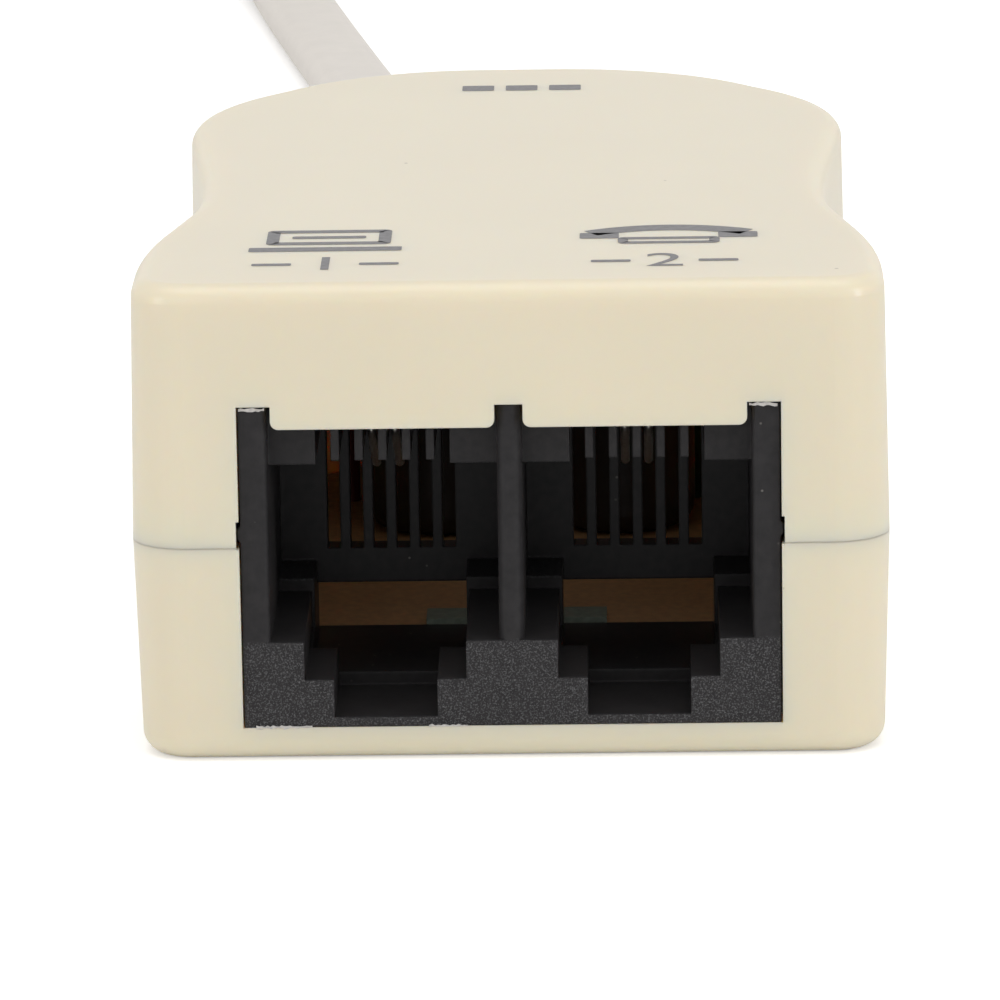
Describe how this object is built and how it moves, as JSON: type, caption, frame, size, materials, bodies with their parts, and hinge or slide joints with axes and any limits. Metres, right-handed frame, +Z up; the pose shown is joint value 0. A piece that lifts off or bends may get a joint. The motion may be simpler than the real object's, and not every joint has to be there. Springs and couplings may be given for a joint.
{
  "type": "dsl filter",
  "caption": "In-line telephone filter: a waisted ivory moulded case with a ganged modular jack at the front and a short flat line cord with a clear modular plug at the rear.",
  "frame": {"origin": "on the surface that the case stands on, under the middle of the case without its cord", "axes": "+Z up, -Y out of the sockets, +Y along the case towards the line cord, +X to the right when looking into the sockets"},
  "size_m": [0.0439, 0.21, 0.0209],
  "materials": {
    "ivory_abs": "glossy moulded ABS with a few dark specks",
    "jack_black": "black moulded polyester, fine spark texture on the lower front",
    "spring_wire": "phosphor bronze wire with a thin gold flash",
    "board_phenolic": "brown single-sided phenolic paper board",
    "solder": "soft solder, satin",
    "ferrite": "dark grey sintered ferrite",
    "copper_wire": "enamelled copper winding",
    "tinned_wire": "tinned copper leads",
    "sleeve_black": "black shrink sleeve",
    "dipped_green": "dark green dipped epoxy",
    "resistor_tan": "tan lacquer with plain colour bands",
    "chip_grey": "grey-green chip part",
    "cord_ivory": "soft ivory PVC jacket",
    "wire_red": "red PVC insulation",
    "wire_green": "green PVC insulation",
    "plug_clear": "clear moulded polycarbonate",
    "gold_blade": "gold flashed contact blade"
  },
  "bodies": {
    "root": {"top_shell": "ivory_abs", "bottom_shell": "ivory_abs", "jack_housing": "jack_black", "port_1_contact_3": "spring_wire", "port_1_contact_4": "spring_wire", "port_2_contact_3": "spring_wire", "port_2_contact_4": "spring_wire", "port_1_lead_3": "wire_red", "port_1_lead_4": "wire_green", "port_2_lead_3": "wire_red", "port_2_lead_4": "wire_green", "circuit_board": "board_phenolic", "solder_joints": "solder", "choke_1_core": "ferrite", "choke_1_winding": "copper_wire", "choke_1_leads": "tinned_wire", "choke_1_sleeve": "sleeve_black", "choke_2_core": "ferrite", "choke_2_winding": "copper_wire", "choke_2_leads": "tinned_wire", "choke_2_sleeve": "sleeve_black", "film_capacitor_1": "dipped_green", "film_capacitor_1_leads": "tinned_wire", "film_capacitor_2": "dipped_green", "film_capacitor_2_leads": "tinned_wire", "resistor_1": "resistor_tan", "resistor_1_leads": "tinned_wire", "resistor_2": "resistor_tan", "resistor_2_leads": "tinned_wire", "chip_resistor_1": "chip_grey", "chip_resistor_2": "chip_grey", "cord_grommet": "cord_ivory", "line_wire_red": "wire_red", "line_wire_green": "wire_green", "line_cord": "cord_ivory", "plug_body": "plug_clear", "plug_blade_3": "gold_blade", "plug_blade_4": "gold_blade"}
  },
  "joints": []
}
